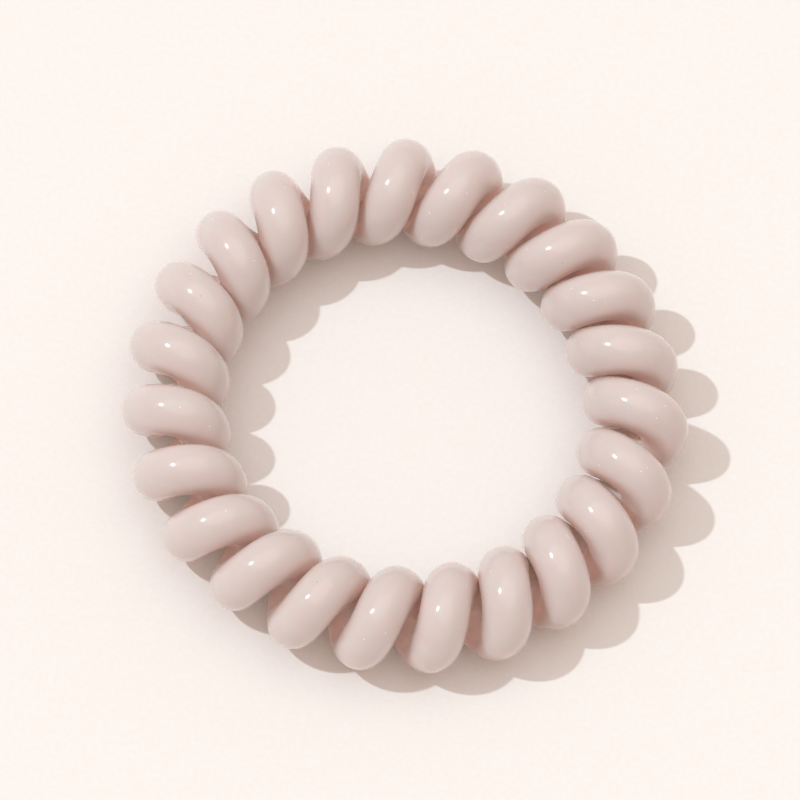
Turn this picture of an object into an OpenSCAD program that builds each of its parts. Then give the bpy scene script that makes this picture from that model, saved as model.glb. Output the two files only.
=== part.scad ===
/* [Ring] */
// Diameter across the outside of the ring
ring_d = 55; // [52:0.1:62]
// Number of turns that the coil makes on its way round
turns = 23; // [20:1:23]

/* [Strand] */
// Thickness of the strand
strand_d = 4.9; // [3.6:0.05:4.9]
// Diameter across the outside of one turn
coil_d = 10.4; // [10.2:0.05:10.8]
// How far the top of each turn trails its inner and outer ends
lean = 0.25; // [0:0.01:0.3]

/* [Weld seam] */
// Width of the band where the two ends of the strand are welded
seam_w = 0.5; // [0.2:0.05:1]
// How far the band stands out from the strand
seam_h = 0.04; // [0.02:0.01:0.15]
// Place of the band, counted in turns from bearing zero
seam_at = 18.17; // [0.2:0.01:19.8]

/* [Facets] */
// Sides round the strand
sides = 14; // [8:1:14]
// Sections along each turn
sections = 18; // [12:1:18]

/* [Hidden] */

strand_r = strand_d / 2;
winding_r = (coil_d - strand_d) / 2;
ring_r = (ring_d - coil_d) / 2;
// Position within the turn at bearing zero: 0 is outermost, 90 on top
first_phase = 240;
// Share of a turn over which a direction along the strand is measured
nudge = 0.001;
// Length over which the weld band rises from the strand
seam_ramp = 0.1;
// Length of strand in one turn
turn_length = norm([2 * PI * winding_r, 2 * PI * ring_r / turns]);

// Turns that don't lie on the even ring, and how far outward each one sits
turn_column = 0;
shift_column = 1;
stray_turns = [
    // turn, shift
    [0, 0.1],
    [1, 0.4],
    [2, -0.3],
    [3, -0.2],
    [5, 0.2],
    [6, 0.2],
    [7, 0.3],
    [8, 0.1],
    [10, -0.2],
    [11, -0.2],
    [12, -0.2],
    [13, -0.1],
    [16, -0.3],
    [17, -0.1],
    [18, -0.2],
    [19, -0.2],
    [21, -0.1],
];

function unit(v) = v / norm(v);

function shift_of(turn) =
    let (rows = search((turn + turns) % turns, stray_turns, 1, turn_column))
    len(rows) == 0 ? 0 : stray_turns[rows[0]][shift_column];

// Angle round the coil's section at a place counted in turns
function phase(at) = 360 * at + first_phase;

// The shift goes from one turn's own value, on its top, smoothly to the next one's
function shift(at) =
    let (
        tops = (phase(at) - 90) / 360,
        turn = floor(tops),
        blend = (1 - cos(180 * (tops - turn))) / 2
    )
    (1 - blend) * shift_of(turn) + blend * shift_of(turn + 1);

function bearing(at) = 360 * at / turns - (lean * sin(phase(at)) / ring_r) * 180 / PI;

// A point in the upright plane at a bearing, by its distance from the axis and its height
function around(bearing, reach, height) = [reach * cos(bearing), reach * sin(bearing), height];

function core(at) = around(bearing(at), ring_r + shift(at), coil_d / 2);

function centre(at) =
    around(
        bearing(at),
        ring_r + shift(at) + winding_r * cos(phase(at)),
        coil_d / 2 + winding_r * sin(phase(at))
    );

// One section of the strand, square to its run, with the first corner on the side of the core
function section(at, r) =
    let (
        heading = unit(centre(at + nudge) - centre(at - nudge)),
        to_core = core(at) - centre(at),
        inward = unit(to_core - (to_core * heading) * heading),
        aside = cross(heading, inward)
    )
    [
        for (side = [0 : sides - 1])
            let (angle = 360 * side / sides)
            centre(at) + r * (cos(angle) * inward + sin(angle) * aside)
    ];

// Places and radii of the sections: even along the strand, and four that shape the weld band
at_column = 0;
r_column = 1;
seam_section = round(seam_at * sections);
half_seam = seam_w / 2 / turn_length;
ramp = seam_ramp / turn_length;
stations = [
    for (i = [0 : turns * sections - 1])
        let (at = i / sections)
        each i == seam_section
            ? [
                [at - half_seam - ramp, strand_r],
                [at - half_seam, strand_r + seam_h],
                [at + half_seam, strand_r + seam_h],
                [at + half_seam + ramp, strand_r],
            ]
            : [[at, strand_r]]
];

module coil() {
    count = len(stations);
    points = [for (s = stations) each section(s[at_column], s[r_column])];
    faces = [
        for (i = [0 : count - 1], side = [0 : sides - 1])
            let (
                here = i * sides,
                next = ((i + 1) % count) * sides,
                beside = (side + 1) % sides
            )
            each [
                [here + side, next + side, next + beside],
                [here + side, next + beside, here + beside],
            ]
    ];
    color([0.83, 0.74, 0.71])
        polyhedron(points, faces);
}

coil();
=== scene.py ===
import math

import bpy
from mathutils import Euler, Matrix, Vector


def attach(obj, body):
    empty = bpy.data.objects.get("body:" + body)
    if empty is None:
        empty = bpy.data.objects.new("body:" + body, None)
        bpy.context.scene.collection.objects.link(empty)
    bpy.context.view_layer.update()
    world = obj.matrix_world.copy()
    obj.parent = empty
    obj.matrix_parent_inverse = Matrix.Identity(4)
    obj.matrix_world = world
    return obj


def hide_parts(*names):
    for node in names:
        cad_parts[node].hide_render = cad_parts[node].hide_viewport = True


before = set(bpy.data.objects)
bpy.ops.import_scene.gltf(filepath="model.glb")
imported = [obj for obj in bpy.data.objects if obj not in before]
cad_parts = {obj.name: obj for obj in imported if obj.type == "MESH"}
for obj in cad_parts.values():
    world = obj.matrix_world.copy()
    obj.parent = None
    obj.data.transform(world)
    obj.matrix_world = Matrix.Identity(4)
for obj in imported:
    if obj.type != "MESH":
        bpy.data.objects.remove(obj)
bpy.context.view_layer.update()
scene = bpy.context.scene
scene.view_settings.view_transform = "Standard"
scene.view_settings.look = "None"
print("frame loaded")


# The camera looks down at the ring from the front and is rolled a little to its left
cameraSetup = {
    "elevation": 68.1,
    "roll": 11.0,
    "distance": 0.681,
    "aim": (-0.00043, 0.00258, 0.0),
    "pixelsPerMetre": 10220,
    "pictureWidth": 800,
    "sensorWidth": 36.0,
    "nearest": 0.05,
    "farthest": 20,
}


def addCamera(setup):
    tilt = math.radians(90 - setup["elevation"])
    roll = math.radians(setup["roll"])
    turn = Euler((tilt, 0, 0)).to_matrix() @ Euler((0, 0, roll)).to_matrix()
    place = Vector(setup["aim"]) + turn @ Vector((0, 0, setup["distance"]))
    bpy.ops.object.camera_add(location=place, rotation=turn.to_euler())
    camera = bpy.context.object
    camera.name = "photoCamera"
    # the lens gives the picture's scale at the aim point
    focal = setup["pixelsPerMetre"] * setup["distance"] / setup["pictureWidth"]
    camera.data.sensor_width = setup["sensorWidth"]
    camera.data.lens = focal * setup["sensorWidth"]
    camera.data.clip_start = setup["nearest"]
    camera.data.clip_end = setup["farthest"]
    scene.camera = camera


addCamera(cameraSetup)
print("camera placed")


# A socket that takes part in sums: each operator adds its own Math node
class Value:
    def __init__(self, material, socket):
        self.material = material
        self.socket = socket

    def math(self, operation, first, second):
        return self.material.node("ShaderNodeMath", {"operation": operation}, {0: first, 1: second})

    def __add__(self, other):
        return self.math("ADD", self, other)

    def __radd__(self, other):
        return self.math("ADD", other, self)

    def __sub__(self, other):
        return self.math("SUBTRACT", self, other)

    def __rsub__(self, other):
        return self.math("SUBTRACT", other, self)

    def __mul__(self, other):
        return self.math("MULTIPLY", self, other)

    def __rmul__(self, other):
        return self.math("MULTIPLY", other, self)

    def __gt__(self, other):
        return self.math("GREATER_THAN", self, other)


class Material:
    def __init__(self, name):
        self.data = bpy.data.materials.new(name)
        self.data.use_nodes = True
        self.tree = self.data.node_tree
        self.surface = self.tree.nodes["Principled BSDF"]

    # the settings go first, because some of them change which sockets there are
    def node(self, kind, settings, sockets, output=0):
        made = self.tree.nodes.new(kind)
        for name, setting in settings.items():
            if name == "stops":
                self.setStops(made.color_ramp, setting)
            else:
                setattr(made, name, setting)
        self.feed(made, sockets)
        return Value(self, self.pick(made.outputs, output))

    # a new ramp has two stops already; the stops are given from low to high
    def setStops(self, ramp, stops):
        for i, (at, colour) in enumerate(stops):
            stop = ramp.elements[i] if i < 2 else ramp.elements.new(at)
            stop.position = at
            stop.color = (*colour, 1)

    # a socket by its number or its name, among those that the settings leave in use
    def pick(self, sockets, wanted):
        inUse = [s for s in sockets if s.enabled]
        if isinstance(wanted, int):
            return inUse[wanted]
        return next(s for s in inUse if s.name == wanted)

    def feed(self, made, sockets):
        for name, given in sockets.items():
            socket = self.pick(made.inputs, name)
            if isinstance(given, Value):
                self.tree.links.new(given.socket, socket)
            else:
                socket.default_value = given

    def place(self):
        return self.node("ShaderNodeTexCoord", {}, {}, "Object")

    def noise(self, place, size, detail=2.0, roughness=0.5):
        sockets = {"Vector": place, "Scale": 1 / size, "Detail": detail, "Roughness": roughness}
        return self.node("ShaderNodeTexNoise", {}, sockets)

    def ramp(self, value, low, high):
        sockets = {"Value": value, "From Min": low, "From Max": high}
        return self.node("ShaderNodeMapRange", {"interpolation_type": "SMOOTHSTEP"}, sockets)

    def mix(self, mask, first, second):
        sockets = {"Factor": mask, "A": first, "B": second}
        return self.node("ShaderNodeMix", {"data_type": "RGBA"}, sockets, "Result")


# Lengths in metres; a stray turn sits outward of the even ring by its number of steps
coil = {
    "ringWidth": 0.055,
    "turns": 23,
    "strandWidth": 0.0049,
    "turnWidth": 0.0104,
    "lean": 0.00025,
    "firstPhase": 240,
    "strayStep": 0.0001,
    "strayTurns": {
        0: 1, 1: 4, 2: -3, 3: -2, 5: 2, 6: 2, 7: 3, 8: 1, 10: -2,
        11: -2, 12: -2, 13: -1, 16: -3, 17: -1, 18: -2, 19: -2, 21: -1,
    },
    "weldAt": 18.17,
    "weldWidth": 0.0005,
    "weldHeight": 0.00003,
    "weldFlatness": 4,
    "pointsPerTurn": 88,
    "sides": 36,
}
strandRadius = coil["strandWidth"] / 2
windingRadius = (coil["turnWidth"] - coil["strandWidth"]) / 2
ringRadius = (coil["ringWidth"] - coil["turnWidth"]) / 2
turnLength = math.hypot(2 * math.pi * windingRadius, 2 * math.pi * ringRadius / coil["turns"])


# each turn's own shift holds on its top and eases into the next one's
def turnShift(at):
    tops = at + (coil["firstPhase"] - 90) / 360
    turn = math.floor(tops)
    blend = (1 - math.cos(math.pi * (tops - turn))) / 2
    here = coil["strayTurns"].get(turn % coil["turns"], 0)
    after = coil["strayTurns"].get((turn + 1) % coil["turns"], 0)
    return ((1 - blend) * here + blend * after) * coil["strayStep"]


# a place along the strand is counted in turns
def strandPoint(at):
    phase = math.radians(360 * at + coil["firstPhase"])
    bearing = 2 * math.pi * at / coil["turns"] - coil["lean"] * math.sin(phase) / ringRadius
    reach = ringRadius + turnShift(at) + windingRadius * math.cos(phase)
    height = coil["turnWidth"] / 2 + windingRadius * math.sin(phase)
    return Vector((reach * math.cos(bearing), reach * math.sin(bearing), height))


# the strand swells a little where its two ends are welded, which is where the path starts
def strandSwell(at):
    fromWeld = min(at, coil["turns"] - at) * turnLength
    fall = (fromWeld / (coil["weldWidth"] / 2)) ** coil["weldFlatness"]
    return 1 + coil["weldHeight"] / strandRadius * math.exp(-fall)


def buildCoil():
    count = coil["turns"] * coil["pointsPerTurn"]
    bpy.ops.object.select_all(action="DESELECT")
    bpy.ops.curve.primitive_bezier_circle_add(radius=ringRadius)
    strand = bpy.context.object
    strand.name = "coilStrand"
    bpy.ops.object.mode_set(mode="EDIT")
    bpy.ops.curve.select_all(action="SELECT")
    bpy.ops.curve.spline_type_set(type="POLY")
    corners = len(strand.data.splines[0].points)
    bpy.ops.curve.subdivide(number_cuts=count // corners - 1)
    bpy.ops.object.mode_set(mode="OBJECT")
    for i, point in enumerate(strand.data.splines[0].points):
        at = i / coil["pointsPerTurn"]
        point.co = (*strandPoint(coil["weldAt"] + at), 1)
        point.radius = strandSwell(at)
    # a bevel of resolution n makes a strand with 2n + 4 sides
    strand.data.bevel_depth = strandRadius
    strand.data.bevel_resolution = coil["sides"] // 2 - 2
    bpy.ops.object.convert(target="MESH")
    bpy.ops.object.shade_smooth()
    return strand


coilStrand = buildCoil()
print("coil built:", len(coilStrand.data.polygons), "faces")


# The colour goes by how open the surface lies, from 0 deep in a gap to 1 in the open: painted shade
# and painted reddish glow in the gaps, the plastic's own colour in the open. One row of stops is for the
# top of the turns and one, with its own painted shade and glow, for their lower half
plastic = {
    "gapReach": 0.006,
    "gapSamples": 8,
    "topColourAndShade": [
        (0.05, (0.90, 0.69, 0.64)),
        (0.15, (0.80, 0.66, 0.62)),
        (0.28, (0.65, 0.43, 0.38)),
        (0.45, (0.695, 0.58, 0.54)),
        (0.7, (0.71, 0.61, 0.60)),
        (1.0, (0.65, 0.585, 0.575)),
    ],
    "lowColourAndShade": [
        (0.05, (1.0, 0.87, 0.80)),
        (0.15, (1.0, 0.83, 0.77)),
        (0.28, (0.88, 0.60, 0.54)),
        (0.45, (0.50, 0.31, 0.26)),
        (0.7, (0.635, 0.53, 0.50)),
        (1.0, (0.67, 0.575, 0.55)),
    ],
    "lowHeight": 0.0045,
    "topHeight": 0.0075,
    "cloudColour": (0.62, 0.55, 0.53, 1),
    "cloudSize": 0.003,
    "cloudDetail": 5,
    "cloudRoughness": 0.6,
    "cloudFrom": 0.35,
    "cloudTo": 0.75,
    "cloudShare": 0.4,
    "speckSpacing": 0.00125,
    "speckSize": 0.000055,
    "speckBlur": 0.3,
    # pale specks: dust and painted glints
    "paleDustAndGlint": (1.0, 0.97, 0.95, 1),
    "darkSpeck": (0.35, 0.22, 0.18, 1),
    "darkShare": 0.06,
    "roughness": 0.15,
    "roughnessSpread": 0.03,
    "roughnessSize": 0.0007,
    "anisotropic": 0.5,
    "specular": 0.25,
    "coat": 0.8,
    "coatFrom": 0.15,
    "coatTo": 0.5,
    "coatRoughness": 0.13,
    "sheen": 0.15,
    "sheenRoughness": 0.3,
    "sheenTint": (1.0, 0.86, 0.82, 1),
    "scatter": 0.6,
    "scatterDepth": 0.0045,
    "scatterColour": (1.0, 0.45, 0.35),
    "ior": 1.5,
}


# tiny round specks in the surface colour: most of them pale, which are dust and painted glints, a few
# dark, which are dust and pits
def addSpecks(made, place, skinAndShade):
    spacing, size, blur = plastic["speckSpacing"], plastic["speckSize"], plastic["speckBlur"]
    grid = {"Vector": place, "Scale": 1 / spacing}
    fromSpeck = made.node("ShaderNodeTexVoronoi", {}, grid, "Distance") * spacing
    ownColour = made.node("ShaderNodeTexVoronoi", {}, grid, "Color")
    chance = made.node("ShaderNodeSeparateColor", {}, {"Color": ownColour}, "Red")
    speckColour = made.mix(chance > plastic["darkShare"], plastic["darkSpeck"], plastic["paleDustAndGlint"])
    speck = 1 - made.ramp(fromSpeck, size * (1 - blur), size * (1 + blur))
    return made.mix(speck, skinAndShade, speckColour)


def plasticMaterial():
    made = Material("dustyPinkPlastic")
    place = made.place()
    reach = {"Distance": plastic["gapReach"]}
    # ambient occlusion drives the painted shade and painted glow in the gaps
    openness = made.node("ShaderNodeAmbientOcclusion", {"samples": plastic["gapSamples"]}, reach, "AO")
    topSkinAndShade = made.node("ShaderNodeValToRGB", {"stops": plastic["topColourAndShade"]}, {"Fac": openness}, "Color")
    lowSkinAndShade = made.node("ShaderNodeValToRGB", {"stops": plastic["lowColourAndShade"]}, {"Fac": openness}, "Color")
    height = made.node("ShaderNodeSeparateXYZ", {}, {"Vector": place}, "Z")
    # the lower half of the turns gets its own painted shade and glow, blended in by height
    skinAndShade = made.mix(made.ramp(height, plastic["lowHeight"], plastic["topHeight"]), lowSkinAndShade, topSkinAndShade)
    puffs = made.noise(place, plastic["cloudSize"], plastic["cloudDetail"], plastic["cloudRoughness"])
    cloud = made.ramp(puffs, plastic["cloudFrom"], plastic["cloudTo"]) * plastic["cloudShare"]
    clouded = made.mix(cloud, skinAndShade, plastic["cloudColour"])
    waver = plastic["roughnessSpread"] * (made.noise(place, plastic["roughnessSize"]) - 0.5)
    made.feed(made.surface, {
        "Base Color": addSpecks(made, place, clouded),
        "Roughness": plastic["roughness"] + waver,
        "Subsurface Weight": plastic["scatter"],
        "Subsurface Scale": plastic["scatterDepth"],
        "Subsurface Radius": plastic["scatterColour"],
        "IOR": plastic["ior"],
        "Anisotropic": plastic["anisotropic"],
        "Specular IOR Level": plastic["specular"],
        "Coat Weight": made.ramp(openness, plastic["coatFrom"], plastic["coatTo"]) * plastic["coat"],
        "Coat Roughness": plastic["coatRoughness"],
        "Sheen Weight": plastic["sheen"],
        "Sheen Roughness": plastic["sheenRoughness"],
        "Sheen Tint": plastic["sheenTint"],
    })
    return made.data


coilStrand.data.materials.append(plasticMaterial())
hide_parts("coil")
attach(coilStrand, "root")
print("plastic applied")


floorSetup = {
    "size": 4.0,
    "colour": (0.885, 0.855, 0.845, 1),
    "grainColour": (0.825, 0.795, 0.785, 1),
    "grainSize": 0.0005,
    "grainDetail": 3,
    "roughness": 0.7,
}


def addFloor(setup):
    bpy.ops.object.select_all(action="DESELECT")
    bpy.ops.mesh.primitive_plane_add(size=setup["size"], location=(0, 0, 0))
    floor = bpy.context.object
    floor.name = "paleFloor"
    paper = Material("palePaper")
    grain = paper.noise(paper.place(), setup["grainSize"], setup["grainDetail"])
    paper.feed(paper.surface, {
        "Base Color": paper.mix(grain, setup["colour"], setup["grainColour"]),
        "Roughness": setup["roughness"],
    })
    floor.data.materials.append(paper.data)


addFloor(floorSetup)


# A sharp lamp from the left, a wide one overhead, a weak one from the right and a warm room
keyLight = {
    "elevation": 55.3,
    "bearing": -179.7,
    "angle": 1.6,
    "strength": 1.34,
    "colour": (0.88, 1.0, 1.06),
}
topLight = {
    "elevation": 86,
    "bearing": 75,
    "angle": 65,
    "strength": 0.83,
    "colour": (1.0, 0.97, 0.93),
}
sideLight = {
    "elevation": 35,
    "bearing": 45,
    "angle": 60,
    "strength": 0.14,
    "colour": (0.87, 0.98, 1.0),
}
paleRoom = {
    "strength": 0.565,
    "colour": (1.0, 0.845, 0.74, 1),
}


# the bearing is where the light comes from, turned from +X towards +Y
def addSun(name, setup):
    turn = Euler((0, math.radians(90 - setup["elevation"]), math.radians(setup["bearing"])))
    away = turn.to_matrix() @ Vector((0, 0, 1))
    bpy.ops.object.light_add(type="SUN", location=away, rotation=turn)
    lamp = bpy.context.object
    lamp.name = name
    lamp.data.energy = setup["strength"]
    lamp.data.angle = math.radians(setup["angle"])
    lamp.data.color = setup["colour"]


def addRoom(setup):
    world = bpy.data.worlds.new("paleRoom")
    scene.world = world
    world.use_nodes = True
    background = world.node_tree.nodes["Background"]
    background.inputs["Color"].default_value = setup["colour"]
    background.inputs["Strength"].default_value = setup["strength"]


addSun("keyLight", keyLight)
addSun("topLight", topLight)
addSun("sideLight", sideLight)
addRoom(paleRoom)
print("floor and lights placed")
